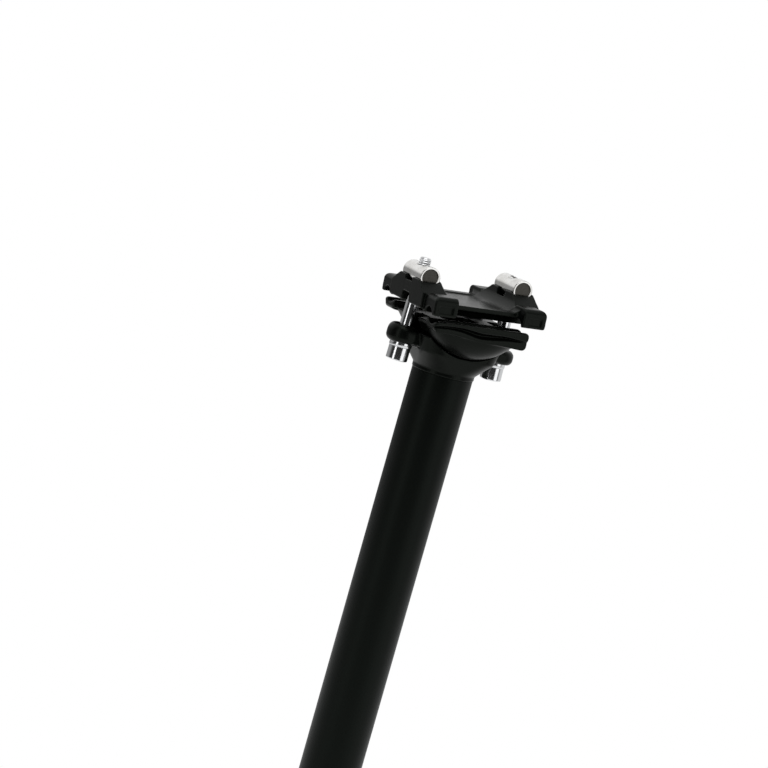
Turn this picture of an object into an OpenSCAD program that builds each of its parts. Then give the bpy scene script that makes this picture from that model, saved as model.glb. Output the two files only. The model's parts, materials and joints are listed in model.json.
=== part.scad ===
// Rigid seatpost with a two-bolt rail clamp.
// +Z runs up the tube's axis, +X is the riding direction and +Y is the rider's left.
// The origin is the centre of the tube's lower end.

/* [Post] */
// Length from the tube's lower end to the centre of the rail grooves, with the clamp level
post_length = 350; // [280:5:420]
// Outer diameter of the tube
tube_od = 27.2; // [25:0.1:31.6]
// Wall of the tube
tube_wall = 2.2; // [1.6:0.1:3]
// Chamfer inside the tube's lower end
tube_chamfer = 0.7; // [0.2:0.1:1.2]

/* [Head] */
// Height of the rails' centre above the tube's upper end, with the clamp level
rail_rise = 28.2; // [26:0.2:34]
// How far the neck stands out from the tube
neck_step = 0.3; // [0.1:0.1:1.2]
// Height of the neck's straight ring
neck_h = 2.2; // [1:0.1:4]
// Length of the spigot inside the tube
spigot_l = 30; // [20:1:45]
// Wall of the hollow spigot
spigot_wall = 3; // [2:0.1:5]
// Height of the ears' underside above the tube's upper end
ear_seat_h = 9.3; // [7:0.1:10]
// Thickness of an ear
ear_t = 6.6; // [5.6:0.1:8]
// Radius of an ear round its bolt
ear_r = 7.3; // [6.8:0.1:10]
// Rounding of an ear's edge
ear_edge_r = 2.7; // [1:0.1:2.8]
// Half width of the gusset between the ears and the head, at the head's middle
gusset_half_w = 15; // [12:0.5:16]
// Height of the trough's floor above the tube's upper end
trough_floor_h = 9.7; // [8.5:0.1:12]
// Corner radius of the head's block, seen from above
block_corner_r = 9; // [6:0.5:12]
// How far the head's block stands out from the flank above the washers
block_step = 1.6; // [0.5:0.1:2]

/* [Rail grooves] */
// Diameter of a rail groove
rail_d = 7; // [6.5:0.1:8]
// Distance between the centres of the rail grooves
rail_spacing = 44; // [42:0.5:54]

/* [Lower cradle] */
// Radius of the belly that rocks in the trough
belly_r = 26; // [24:0.5:30]
// Rounding from the belly up to the rail beds
belly_edge_r = 12; // [8:0.5:14]
// Length of the belly's block along the rails
belly_l = 45; // [40:1:48]
// Length of a rail bed ahead of the clamp's middle
bed_front = 24.5; // [20:0.5:30]
// Length of a rail bed behind the clamp's middle
bed_rear = 20.5; // [20:0.5:30]
// Width of a rail bed
bed_w = 10.4; // [9:0.2:12]
// Distance from the rail's centre down to the bed's lip
bed_lip = 1.9; // [1.2:0.1:1.95]
// Depth of the proud bar along a rail bed's edge
bed_bar_t = 3.2; // [2.6:0.1:3.8]
// How far the flank below the bar lies inside it
bed_step = 0.9; // [0.4:0.1:1.4]
// Depth of the bar and its flank at the front end
bed_front_t = 4.4; // [4:0.2:8]
// Depth of the bar and its flank at the rear end
bed_rear_t = 7.8; // [4:0.2:8]
// Rounding of a flank's corners, seen from the side
bed_corner_r = 1.9; // [1:0.1:1.9]
// Rounding of the bar's corners, seen from the side
bar_corner_r = 1.3; // [0.6:0.1:1.3]

/* [Upper clamp] */
// Length of a rail jaw
jaw_l = 53.5; // [50:0.5:62]
// Width of a rail jaw
jaw_w = 11; // [10:0.2:13]
// Height of the jaw's top above the rail's centre
jaw_top = 8.6; // [6.5:0.1:9.5]
// Height of the jaw's lips above the rail's centre
jaw_foot = 0.5; // [-1:0.1:1]
// Rounding of the jaws' top edges and ends
jaw_edge_r = 2.5; // [2:0.1:4]
// Length of a claw at each end of a jaw
claw_l = 11; // [8:0.5:16]
// How far a claw reaches out over the rail from the middle of its jaw
claw_reach = 6; // [4:0.1:6.6]
// Depth of the panel sunk in a claw's outer face
claw_panel = 0.4; // [0.2:0.1:0.8]
// Height of the jaws' middle above the rail's centre
waist_top = 5.4; // [5:0.1:8]
// Thickness of the bridge between the jaws
bridge_t = 3.6; // [3:0.2:5]
// Height of the nuts' centre above the rails' centre
nut_rise = 13.4; // [12:0.1:16]
// Wall of a boss before and behind its nut
boss_wall = 0.7; // [0.5:0.1:1.5]
// Fillet between a boss and the bridge
boss_fillet = 6; // [3:0.5:7]

/* [Fasteners] */
// Distance between the two bolts at the ears
bolt_spacing = 47; // [43:0.5:52]
// How far each barrel nut stands inside its bolt's ear
nut_inset = 1; // [0:0.1:2]
// Outer diameter of the bolt's thread
bolt_d = 6; // [5:0.1:6]
// Depth of the thread
thread_depth = 0.6; // [0.4:0.05:0.7]
// Length of the bolt under its head
bolt_l = 39.5; // [38:0.5:46]
// Length of the bolt's plain shank
shank_l = 22; // [12:1:24]
// Diameter of the bolt's head
bolt_head_d = 9.5; // [8.5:0.1:10]
// Height of the bolt's head
bolt_head_h = 6; // [4:0.1:6]
// Width across the flats of the hexagon socket
socket_af = 5; // [4:0.5:5]
// Depth of the hexagon socket
socket_depth = 3; // [2:0.1:3.5]
// Outer diameter of a washer
washer_d = 10; // [9.5:0.1:10.4]
// Thickness of a washer's rim
washer_t = 1.6; // [1:0.1:2]
// Radius of the half-round face between a washer and its ear
seat_round_r = 8.5; // [7.5:0.1:10]
// Diameter of a barrel nut
nut_d = 9.4; // [8:0.1:10]
// Length of a barrel nut
nut_l = 18.6; // [16:0.2:24]
// Chamfer on the edges of the fasteners
fastener_chamfer = 0.5; // [0.2:0.1:0.8]

/* [Clamp] */
// Nose-down tilt of the clamp as it stands
rest_tilt = 4.5; // [0:0.5:6]

/* [Clearances] */
// Bond line between the spigot and the tube
bond_gap = 0.04; // [0.02:0.01:0.1]
// Gap between the belly and the trough
belly_gap = 0.3; // [0.2:0.05:0.5]
// Gap between the head's sides and the rail beds
side_gap = 0.4; // [0.3:0.1:1]
// Gap between a washer and the head's flank
flank_gap = 0.4; // [0.3:0.1:0.8]
// Gap between a washer's half-round face and its ear
seat_gap = 0.1; // [0.06:0.01:0.2]
// Room round a washer in the pocket of its ear, for the bolt's small swing
pocket_room = 0.6; // [0.5:0.05:0.8]
// Gap between a bolt's head and its washer
head_gap = 0.05; // [0.03:0.01:0.1]
// Gap between a barrel nut and its seat
nut_gap = 0.12; // [0.08:0.01:0.2]
// Room round a bolt in an ear or a washer
bolt_room = 0.35; // [0.25:0.05:0.6]
// Extra room each way along an ear's slot
slot_room = 1.2; // [0.6:0.1:1.6]
// Room round a bolt in the cradle's notch, for the clamp's tilt
notch_room = 4.8; // [4:0.1:6]
// Room round a bolt in the upper clamp's notch
boss_room = 2.6; // [2.2:0.1:3]

/* [Hidden] */
$fn = 96;
eps = 0.01;

front = 1;
rear = -1;
near_side = 1;
far_side = -1;
black_satin = "#232427";
black_matt = "#18191b";
chrome = "#d3d6d9";

// Heights along the tube's axis
tube_l = post_length - rail_rise;
seat_z = tube_l + ear_seat_h;
ear_top_z = seat_z + ear_t;
tilt_z = tube_l + trough_floor_h + belly_gap + belly_r;
tilt_above_rail = tilt_z - post_length;
rim_above_pivot = sqrt(seat_round_r * seat_round_r - washer_d * washer_d / 4);
pivot_z = seat_z - seat_gap - rim_above_pivot;

// Radii of the head
tube_ir = tube_od / 2 - tube_wall;
neck_r = tube_od / 2 + neck_step;
spigot_r = tube_ir - bond_gap;
spigot_bore_r = spigot_r - spigot_wall;
flank_r = bolt_spacing / 2 - washer_d / 2 - flank_gap;
bed_inner_y = rail_spacing / 2 - bed_w / 2;
bed_outer_y = rail_spacing / 2 + bed_w / 2;
head_half_w = bed_inner_y - side_gap;

// Levels and widths of the clamp, measured from the rails' centre
crown_drop = 0.6;
belly_top = -rail_d / 2 - crown_drop;
belly_half_w = bed_outer_y - bed_step;
bridge_top = waist_top - crown_drop;
skirt_top = jaw_top - crown_drop;
boss_drop = 1;
nut_spacing = bolt_spacing - 2 * nut_inset;
boss_top = nut_rise - boss_drop;
boss_half_l = nut_d / 2 + nut_gap + boss_wall;
bolt_slit_w = bolt_d + 2 * bolt_room;
notch_side_room = 1.5;
pocket_r = 8.5;
pocket_depth = 6;
panel_margin = 2.2;
relief_corner_r = 2.5;
over_cut = 1;

// Fineness of the head's loft, and how far its gussets lie inside the ears' edges
loft_fn = 64;
loft_skin = 0.2;
gusset_inset = 0.9;

// Centre of a nut, as [x, z], with the clamp at its tilt
function nut_at(end) =
    let (x = end * nut_spacing / 2, z = nut_rise - tilt_above_rail)
    [x * cos(rest_tilt) + z * sin(rest_tilt), tilt_z - x * sin(rest_tilt) + z * cos(rest_tilt)];

// Lean of a bolt from its ear's seat to its nut
function bolt_lean(end) = atan2(nut_at(end)[0] - end * bolt_spacing / 2, nut_at(end)[1] - pivot_z);

// Square with round corners, from corner a to corner b
module round_square(a, b, r) {
    translate([a[0] + r, a[1]]) square([b[0] - a[0] - 2 * r, b[1] - a[1]]);
    translate([a[0], a[1] + r]) square([b[0] - a[0], b[1] - a[1] - 2 * r]);
    for (x = [a[0] + r, b[0] - r], y = [a[1] + r, b[1] - r]) translate([x, y]) circle(r = r);
}

// Extrude a side view, drawn as X and Z, across the width w
module across(w) {
    rotate([90, 0, 0]) linear_extrude(height = w, center = true) children();
}

// Extrude a front view, drawn as Y and Z, along the length l
module along(l) {
    rotate([90, 0, 90]) linear_extrude(height = l, center = true) children();
}

// Carry the clamp's pieces from the rails' frame to their place on the tilted clamp
module on_clamp() {
    translate([0, 0, tilt_z]) rotate([0, rest_tilt, 0]) translate([0, 0, -tilt_above_rail]) children();
}

// Carry a fastener from the axis of its washer's round face to its place, leaning with its bolt
module on_bolt(end) {
    translate([end * bolt_spacing / 2, 0, pivot_z]) rotate([0, bolt_lean(end), 0]) children();
}

// Round bar along the rails, at a rail's centre
module rail_core(side, r, l) {
    translate([0, side * rail_spacing / 2, 0]) rotate([0, 90, 0]) cylinder(r = r, h = l, center = true);
}

module post_tube() {
    color(black_matt) rotate_extrude() polygon([
        [tube_ir + tube_chamfer, 0],
        [tube_od / 2, 0],
        [tube_od / 2, tube_l],
        [tube_ir, tube_l],
        [tube_ir, tube_chamfer]
    ]);
}

// Forged body of the head, lofted from the neck's ring to the block under the cradle
module head_body() {
    block_x = flank_r - block_corner_r;
    block_y = head_half_w - block_corner_r;
    translate([0, 0, tube_l]) cylinder(r = neck_r, h = neck_h);
    hull() {
        translate([0, 0, tube_l + neck_h - loft_skin])
            cylinder(r = neck_r, h = loft_skin, $fn = loft_fn);
        for (x = [-block_x, block_x], y = [-block_y, block_y]) {
            translate([x, y, seat_z]) cylinder(r = block_corner_r, h = loft_skin, $fn = loft_fn);
            translate([x + sign(x) * block_step, y, ear_top_z - loft_skin])
                cylinder(r = block_corner_r, h = loft_skin, $fn = loft_fn);
        }
    }
}

// One ear, with a full round edge and a gusset that runs back into the head
module head_ear(end) {
    ear_x = end * bolt_spacing / 2;
    gusset_y = ear_r - gusset_inset;
    translate([ear_x, 0, 0]) rotate_extrude() intersection() {
        round_square([-ear_r, seat_z], [ear_r, ear_top_z], ear_edge_r);
        translate([0, seat_z]) square([ear_r, ear_t]);
    }
    translate([ear_x / 2, 0, 0]) along(bolt_spacing / 2)
        round_square([-ear_r, seat_z], [ear_r, ear_top_z], ear_edge_r);
    translate([0, 0, seat_z + gusset_inset]) linear_extrude(height = ear_t - 2 * gusset_inset)
        polygon([[0, -gusset_half_w], [ear_x, -gusset_y], [ear_x, gusset_y], [0, gusset_half_w]]);
}

// Round bar across the post, on the axis that a bolt swings about
module swing_core(r) {
    rotate([90, 0, 0]) cylinder(r = r, h = washer_d + 2 * over_cut, center = true);
}

// Slot and half-round pocket that let a bolt swing in its ear
module ear_slot(end) {
    slot_h = ear_t + 2 * eps;
    translate([end * bolt_spacing / 2, 0, seat_z - eps]) {
        for (x = [-slot_room, slot_room]) translate([x, 0, 0]) cylinder(d = bolt_slit_w, h = slot_h);
        translate([-slot_room, -bolt_slit_w / 2, 0]) cube([2 * slot_room, bolt_slit_w, slot_h]);
    }
    translate([end * bolt_spacing / 2, 0, pivot_z]) intersection() {
        swing_core(seat_round_r + seat_gap);
        translate([0, 0, seat_z - pivot_z - eps]) cylinder(r = washer_d / 2 + pocket_room, h = seat_round_r);
    }
}

module post_head() {
    color(black_satin) difference() {
        union() {
            head_body();
            for (end = [front, rear]) head_ear(end);
            translate([0, 0, tube_l - spigot_l]) cylinder(r = spigot_r, h = spigot_l + neck_h);
        }
        translate([0, 0, tilt_z]) rotate([90, 0, 0])
            cylinder(r = belly_r + belly_gap, h = rail_spacing, center = true);
        translate([0, 0, tube_l - spigot_l - eps]) cylinder(r = spigot_bore_r, h = spigot_l + neck_h);
        for (end = [front, rear]) ear_slot(end);
    }
}

// Belly of the cradle, turned about the tilt axis, with round ends
module belly() {
    intersection() {
        translate([0, 0, tilt_above_rail]) rotate([90, 0, 0]) rotate_extrude() intersection() {
            round_square([-belly_r, -belly_half_w], [belly_r, belly_half_w], belly_edge_r);
            translate([0, -belly_half_w]) square([belly_r, 2 * belly_half_w]);
        }
        translate([-belly_l / 2, -belly_half_w, tilt_above_rail - belly_r - eps])
            cube([belly_l, 2 * belly_half_w, belly_top - tilt_above_rail + belly_r + eps]);
    }
}

// One rail bed: a proud bar, and below it a flank that deepens towards the rear
module rail_bed(side) {
    r = bed_corner_r;
    top = -bed_lip;
    front_x = bed_front - r;
    rear_x = r - bed_rear;
    front_z = top - bed_front_t + r;
    rear_z = top - bed_rear_t + r;
    slope = atan2(front_z - rear_z, front_x - rear_x);
    fall = [r * sin(slope), -r * cos(slope)];
    translate([0, side * rail_spacing / 2, 0]) across(bed_w)
        round_square([-bed_rear, top - bed_bar_t], [bed_front, top], bar_corner_r);
    translate([0, side * rail_spacing / 2, 0]) across(bed_w - 2 * bed_step) {
        polygon([
            [front_x, top],
            [bed_front, top - r],
            [bed_front, front_z],
            [front_x, front_z] + fall,
            [rear_x, rear_z] + fall,
            [-bed_rear, rear_z],
            [-bed_rear, top - r],
            [rear_x, top]
        ]);
        translate([front_x, top - r]) circle(r = r);
        translate([front_x, front_z]) circle(r = r);
        translate([rear_x, top - r]) circle(r = r);
        translate([rear_x, rear_z]) circle(r = r);
    }
}

module lower_cradle() {
    notch_x = bolt_spacing / 2 - bolt_d / 2 - notch_room;
    notch_w = bolt_slit_w + 2 * notch_side_room;
    notch_foot = tilt_above_rail - belly_r - over_cut;
    color(black_satin) on_clamp() difference() {
        union() {
            belly();
            for (side = [near_side, far_side]) rail_bed(side);
        }
        for (side = [near_side, far_side]) rail_core(side, rail_d / 2, 2 * (bed_front + bed_rear));
        for (turn = [0, 180]) rotate([0, 0, turn]) translate([notch_x, -notch_w / 2, notch_foot])
            cube([belly_l, notch_w, belly_r + over_cut]);
        translate([0, 0, belly_top - pocket_depth]) cylinder(r = pocket_r, h = pocket_depth + over_cut);
    }
}

// Bridge and jaws of the upper clamp, as one section along the rails
module jaw_section() {
    for (side = [near_side, far_side]) translate([side * rail_spacing / 2, 0]) {
        round_square([-jaw_w / 2, jaw_foot], [jaw_w / 2, jaw_top], jaw_edge_r);
        translate([-jaw_w / 2, jaw_foot]) square([jaw_w, jaw_top - jaw_foot - jaw_edge_r]);
    }
    translate([-rail_spacing / 2, bridge_top - bridge_t]) square([rail_spacing, bridge_t]);
}

// Outline of the jaws from the side, with round top corners and a lower waist between the claws
module jaw_outline() {
    waist_l = jaw_l - 2 * claw_l;
    difference() {
        union() {
            round_square([-jaw_l / 2, jaw_foot], [jaw_l / 2, jaw_top], jaw_edge_r);
            translate([-jaw_l / 2, jaw_foot]) square([jaw_l, jaw_top - jaw_foot - jaw_edge_r]);
        }
        round_square([-waist_l / 2, waist_top], [waist_l / 2, 2 * jaw_top], relief_corner_r);
    }
}

// Boss that carries a barrel nut, with sloping skirts, swept down to the bridge
module nut_boss() {
    inner = nut_spacing / 2 - boss_half_l;
    foot = bridge_top - bridge_t;
    skirt_y = bed_inner_y;
    intersection() {
        across(rail_spacing) difference() {
            translate([inner - boss_fillet, foot]) square([2 * boss_half_l + boss_fillet, boss_top - foot]);
            translate([inner - boss_fillet, bridge_top + boss_fillet]) circle(r = boss_fillet);
            translate([inner - 2 * boss_fillet, bridge_top + boss_fillet])
                square([2 * boss_fillet, boss_fillet]);
        }
        along(2 * jaw_l) polygon([
            [-skirt_y, foot],
            [skirt_y, foot],
            [skirt_y, skirt_top],
            [nut_l / 2, boss_top],
            [-nut_l / 2, boss_top],
            [-skirt_y, skirt_top]
        ]);
    }
}

// Seat and open notch of a barrel nut and its bolt
module nut_seat() {
    notch_x = nut_spacing / 2 - bolt_d / 2 - boss_room;
    notch_foot = jaw_foot - over_cut;
    translate([nut_spacing / 2, 0, nut_rise]) rotate([90, 0, 0])
        cylinder(d = nut_d + 2 * nut_gap, h = nut_l + 2 * over_cut, center = true);
    translate([notch_x, -bolt_slit_w / 2, notch_foot])
        cube([jaw_l / 2, bolt_slit_w, nut_rise - notch_foot]);
}

// Hollow of one jaw: the rail's groove, the relief between its claws and the claws' panels
module jaw_hollow(side) {
    relief_l = jaw_l - 2 * claw_l;
    cut_l = jaw_l + 2 * over_cut;
    outer_y = rail_spacing / 2 + jaw_w / 2;
    side_top = jaw_top - jaw_edge_r;
    panel_h = side_top - jaw_foot - panel_margin;
    rail_core(side, rail_d / 2, cut_l);
    translate([0, side * rail_spacing / 2, -rail_d / 2]) cube([cut_l, rail_d, rail_d], center = true);
    translate([0, side * outer_y, jaw_foot - over_cut])
        linear_extrude(height = jaw_top - jaw_foot + 2 * over_cut)
        round_square([-relief_l / 2, -claw_reach], [relief_l / 2, claw_reach], relief_corner_r);
    for (end = [front, rear]) {
        panel_x = end * (jaw_l - claw_l) / 2;
        panel_y = side * (outer_y - claw_panel / 2 + eps);
        translate([panel_x, panel_y, (side_top + jaw_foot) / 2])
            cube([claw_l - 2 * panel_margin, claw_panel + 2 * eps, panel_h], center = true);
    }
}

module upper_clamp() {
    color(black_satin) on_clamp() difference() {
        union() {
            intersection() {
                along(jaw_l) jaw_section();
                across(rail_spacing + 2 * jaw_w) jaw_outline();
            }
            for (turn = [0, 180]) rotate([0, 0, turn]) nut_boss();
        }
        for (turn = [0, 180]) rotate([0, 0, turn]) nut_seat();
        for (side = [near_side, far_side]) jaw_hollow(side);
    }
}

module clamp_bolt(end) {
    under_head = rim_above_pivot - washer_t - head_gap;
    foot = under_head - bolt_head_h;
    core_r = bolt_d / 2 - thread_depth;
    tip = under_head + bolt_l;
    color(chrome) on_bolt(end) difference() {
        rotate_extrude() polygon([
            [0, foot],
            [bolt_head_d / 2 - fastener_chamfer, foot],
            [bolt_head_d / 2, foot + fastener_chamfer],
            [bolt_head_d / 2, under_head],
            [bolt_d / 2, under_head],
            [bolt_d / 2, under_head + shank_l],
            [core_r, under_head + shank_l + thread_depth],
            [core_r, tip - fastener_chamfer],
            [core_r - fastener_chamfer, tip],
            [0, tip]
        ]);
        translate([0, 0, foot - eps]) cylinder(d = socket_af / cos(30), h = socket_depth + eps, $fn = 6);
    }
}

// Washer with a half-round upper face
module washer(end) {
    color(chrome) on_bolt(end) difference() {
        intersection() {
            swing_core(seat_round_r);
            translate([0, 0, rim_above_pivot - washer_t]) cylinder(d = washer_d, h = seat_round_r);
        }
        cylinder(r = bolt_d / 2 + bolt_room, h = seat_round_r + over_cut);
    }
}

module barrel_nut(end) {
    dish_r = nut_d / 2 - 2 * fastener_chamfer;
    half_l = nut_l / 2;
    color(chrome) translate([nut_at(end)[0], 0, nut_at(end)[1]]) rotate([0, bolt_lean(end), 0]) difference() {
        rotate([90, 0, 0]) rotate_extrude() polygon([
            [0, -half_l + fastener_chamfer],
            [dish_r, -half_l + fastener_chamfer],
            [dish_r, -half_l],
            [nut_d / 2 - fastener_chamfer, -half_l],
            [nut_d / 2, -half_l + fastener_chamfer],
            [nut_d / 2, half_l - fastener_chamfer],
            [nut_d / 2 - fastener_chamfer, half_l],
            [dish_r, half_l],
            [dish_r, half_l - fastener_chamfer],
            [0, half_l - fastener_chamfer]
        ]);
        cylinder(r = bolt_d / 2, h = nut_d + 2 * over_cut, center = true);
    }
}

module front_bolt() { clamp_bolt(front); }
module rear_bolt() { clamp_bolt(rear); }
module front_washer() { washer(front); }
module rear_washer() { washer(rear); }
module front_barrel_nut() { barrel_nut(front); }
module rear_barrel_nut() { barrel_nut(rear); }

post_tube();
post_head();
lower_cradle();
upper_clamp();
front_bolt();
rear_bolt();
front_washer();
rear_washer();
front_barrel_nut();
rear_barrel_nut();
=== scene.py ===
"""A seatpost with a two-bolt rail clamp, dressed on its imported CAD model.

In a finish, a span is where a mark fades in, a scale is in blotches a metre, and a share is how
much of a colour shows.
"""

import sys

import json
import logging
import math
from dataclasses import dataclass, field
from enum import Enum
from typing import Any, ClassVar, Iterable, Sequence, Union

import bmesh
import bpy
import numpy as np
from mathutils import Matrix, Vector

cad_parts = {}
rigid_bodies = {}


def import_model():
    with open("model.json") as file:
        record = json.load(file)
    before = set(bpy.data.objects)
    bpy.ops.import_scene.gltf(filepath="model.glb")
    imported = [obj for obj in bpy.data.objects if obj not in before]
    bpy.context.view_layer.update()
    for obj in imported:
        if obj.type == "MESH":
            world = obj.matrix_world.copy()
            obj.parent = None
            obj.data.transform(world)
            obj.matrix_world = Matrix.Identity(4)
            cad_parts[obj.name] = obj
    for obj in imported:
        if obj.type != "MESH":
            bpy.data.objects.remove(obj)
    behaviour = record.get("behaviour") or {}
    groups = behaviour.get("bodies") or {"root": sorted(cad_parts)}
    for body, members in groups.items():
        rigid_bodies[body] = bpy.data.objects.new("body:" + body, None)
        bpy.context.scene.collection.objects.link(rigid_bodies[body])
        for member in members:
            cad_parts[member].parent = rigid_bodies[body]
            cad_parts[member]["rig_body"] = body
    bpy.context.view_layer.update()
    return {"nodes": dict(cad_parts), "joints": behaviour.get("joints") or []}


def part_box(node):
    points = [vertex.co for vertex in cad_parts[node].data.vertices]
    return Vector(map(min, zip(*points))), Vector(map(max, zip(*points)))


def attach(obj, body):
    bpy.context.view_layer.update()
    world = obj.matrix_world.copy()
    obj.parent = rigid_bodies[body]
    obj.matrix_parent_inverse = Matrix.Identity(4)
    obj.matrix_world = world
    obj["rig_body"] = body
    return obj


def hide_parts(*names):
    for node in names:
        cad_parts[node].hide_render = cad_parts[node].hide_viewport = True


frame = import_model()

log = logging.getLogger("seatpost")

MM = 0.001
MICRON = 1e-6
FULL_TURN = 2.0 * math.pi
WHITE = (1.0, 1.0, 1.0, 1.0)

Colour = tuple[float, float, float]
Point = tuple[float, float, float]
Span = tuple[float, float]
Profile = list[tuple[float, float]]
Feed = Union["Wire", float, Sequence[float], None]
Feeds = dict[Union[str, int], Feed]


# Shader graphs


class Wire:
    """One output socket of a shader graph, used in Python expressions."""

    def __init__(self, graph: "Graph", socket: bpy.types.NodeSocket | None) -> None:
        """Keeps the graph and the socket."""
        self.graph = graph
        self.socket = socket

    def _math(self, operation: str, first: Feed, second: Feed = None) -> "Wire":
        """One Math node.

        Args:
            operation: the Math node's operation.
            first: its first value or link.
            second: its second value or link, if it takes one.

        Returns:
            The node's result.
        """
        feeds = {0: first} if second is None else {0: first, 1: second}
        return self.graph.add("ShaderNodeMath", {"operation": operation}, feeds)

    def __add__(self, other: Feed) -> "Wire":
        """self + other."""
        return self._math("ADD", self, other)

    def __radd__(self, other: Feed) -> "Wire":
        """other + self."""
        return self._math("ADD", other, self)

    def __sub__(self, other: Feed) -> "Wire":
        """self - other."""
        return self._math("SUBTRACT", self, other)

    def __rsub__(self, other: Feed) -> "Wire":
        """other - self."""
        return self._math("SUBTRACT", other, self)

    def __mul__(self, other: Feed) -> "Wire":
        """self * other."""
        return self._math("MULTIPLY", self, other)

    def __rmul__(self, other: Feed) -> "Wire":
        """other * self."""
        return self._math("MULTIPLY", other, self)

    def __pow__(self, other: Feed) -> "Wire":
        """self ** other."""
        return self._math("POWER", self, other)

    def __rpow__(self, other: Feed) -> "Wire":
        """other ** self."""
        return self._math("POWER", other, self)

    def sine(self) -> "Wire":
        """The sine of self, in radians."""
        return self._math("SINE", self)

    def at_least(self, other: Feed) -> "Wire":
        """The larger of self and other."""
        return self._math("MAXIMUM", self, other)

    def ramp(self, low: float, high: float) -> "Wire":
        """A smooth step of self.

        Args:
            low: where the step is 0.
            high: where the step is 1. It may be below low.

        Returns:
            A value from 0 to 1.
        """
        settings = {"interpolation_type": "SMOOTHSTEP", "clamp": True}
        feeds = {"Value": self, "From Min": low, "From Max": high}
        return self.graph.add("ShaderNodeMapRange", settings, feeds)


class Grain(Enum):
    """How many finer layers a noise has."""

    COARSE = 2.0
    MEDIUM = 3.0
    FINE = 4.0


class Ray(Enum):
    """The kinds of light ray that a material or the room can tell apart."""

    CAMERA = "Is Camera Ray"
    GLOSSY = "Is Glossy Ray"
    TRANSMISSION = "Is Transmission Ray"


class Graph:
    """A shader node tree under construction."""

    def __init__(self, tree: bpy.types.NodeTree) -> None:
        """Empties the tree and keeps it."""
        self.tree = tree
        tree.nodes.clear()

    def add(
        self,
        kind: str,
        settings: dict[str, Any] | None = None,
        feeds: Feeds | None = None,
        out: Union[str, int] = 0,
    ) -> Wire:
        """Adds one node.

        Args:
            kind: the node's type.
            settings: its properties, set first.
            feeds: a value or a link for each input, by name or number.
            out: the output that is returned, by name or number.

        Returns:
            The chosen output, or an empty wire where the node has no output.
        """
        node = self.tree.nodes.new(kind)
        for name, value in (settings or {}).items():
            setattr(node, name, value)
        for key, value in (feeds or {}).items():
            if isinstance(value, Wire):
                self.tree.links.new(value.socket, node.inputs[key])
            elif value is not None:
                node.inputs[key].default_value = value
        return Wire(self, node.outputs[out] if len(node.outputs) else None)

    def place(self) -> Wire:
        """A point's place in its object, in metres."""
        return self.add("ShaderNodeTexCoord", out="Object")

    def split(self, vector: Wire) -> list[Wire]:
        """The three numbers of a vector."""
        node = self.add("ShaderNodeSeparateXYZ", feeds={0: vector}).socket.node
        return [Wire(self, output) for output in node.outputs]

    def stretch(self, vector: Wire, scale: Sequence[float]) -> Wire:
        """A vector times a scale for each axis."""
        feeds = {0: vector, 1: tuple(scale)}
        return self.add("ShaderNodeVectorMath", {"operation": "MULTIPLY"}, feeds)

    def along(self, vector: Wire, way: Sequence[float]) -> Wire:
        """How far a vector reaches along a direction."""
        feeds = {0: vector, 1: tuple(way)}
        return self.add("ShaderNodeVectorMath", {"operation": "DOT_PRODUCT"}, feeds, "Value")

    def noise(
        self, vector: Wire, scale: float, grain: Grain = Grain.MEDIUM, rough: float = 0.55
    ) -> Wire:
        """Soft random values from 0 to 1.

        Args:
            vector: where it is read.
            scale: blotches in a metre.
            grain: how many finer layers lie on top.
            rough: how strong they are.

        Returns:
            The noise's value.
        """
        feeds = {"Vector": vector, "Scale": scale, "Detail": grain.value, "Roughness": rough}
        return self.add("ShaderNodeTexNoise", {"noise_dimensions": "3D"}, feeds)

    def streaks(self, scale: Point, grain: Grain = Grain.COARSE) -> Wire:
        """Noise with its own scale, in blotches a metre, along each axis."""
        return self.noise(self.stretch(self.place(), scale), 1.0, grain)

    def grains(self, vector: Wire, scale: float) -> Wire:
        """Distance to the nearest of many scattered points, in cells."""
        feeds = {"Vector": vector, "Scale": scale}
        return self.add("ShaderNodeTexVoronoi", {"feature": "F1"}, feeds, "Distance")

    def attribute(self, name: str) -> Wire:
        """A number that is stored on the mesh."""
        return self.add("ShaderNodeAttribute", {"attribute_name": name}, out="Fac")

    def rays(self, *kinds: Ray) -> Wire:
        """Tells light rays apart.

        Args:
            kinds: the kinds of ray that count.

        Returns:
            1 for a ray of one of these kinds, and 0 for others.
        """
        wires = [self.add("ShaderNodeLightPath", out=kind.value) for kind in kinds]
        seen = wires[0]
        for wire in wires[1:]:
            seen = seen.at_least(wire)
        return seen

    def blend(self, factor: Feed, first: Feed, second: Feed) -> Wire:
        """A colour between two colours.

        Args:
            factor: 0 for the first, 1 for the second.
            first: a colour.
            second: a colour.

        Returns:
            The colour.
        """
        sides = [side if isinstance(side, Wire) else (*side, 1.0) for side in (first, second)]
        feeds = {0: factor, 6: sides[0], 7: sides[1]}
        return self.add("ShaderNodeMix", {"data_type": "RGBA"}, feeds, 2)

    def bump(self, height: Wire, depth: float, strength: float) -> Wire:
        """A normal from a height.

        Args:
            height: the height, from 0 to 1.
            depth: how deep 1 is, in metres.
            strength: how much of it shows.

        Returns:
            The normal.
        """
        feeds = {"Height": height, "Distance": depth, "Strength": strength}
        return self.add("ShaderNodeBump", {}, feeds)

    def close(self, feeds: Feeds) -> None:
        """Ends a material with one surface shader, from its values and links."""
        shader = self.add("ShaderNodeBsdfPrincipled", {}, feeds)
        self.add("ShaderNodeOutputMaterial", {}, {"Surface": shader})


# Finishes


class Slot(Enum):
    """The record's material slots."""

    TUBE = "tube"
    HEAD = "head"
    CLAMP = "clamp"
    FASTENER = "fastener"
    NUT = "nut"


def new_material(name: str) -> tuple[bpy.types.Material, Graph]:
    """An empty node material.

    Args:
        name: its name.

    Returns:
        The material and its graph.
    """
    material = bpy.data.materials.new(name)
    material.use_nodes = True
    return material, Graph(material.node_tree)


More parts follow.
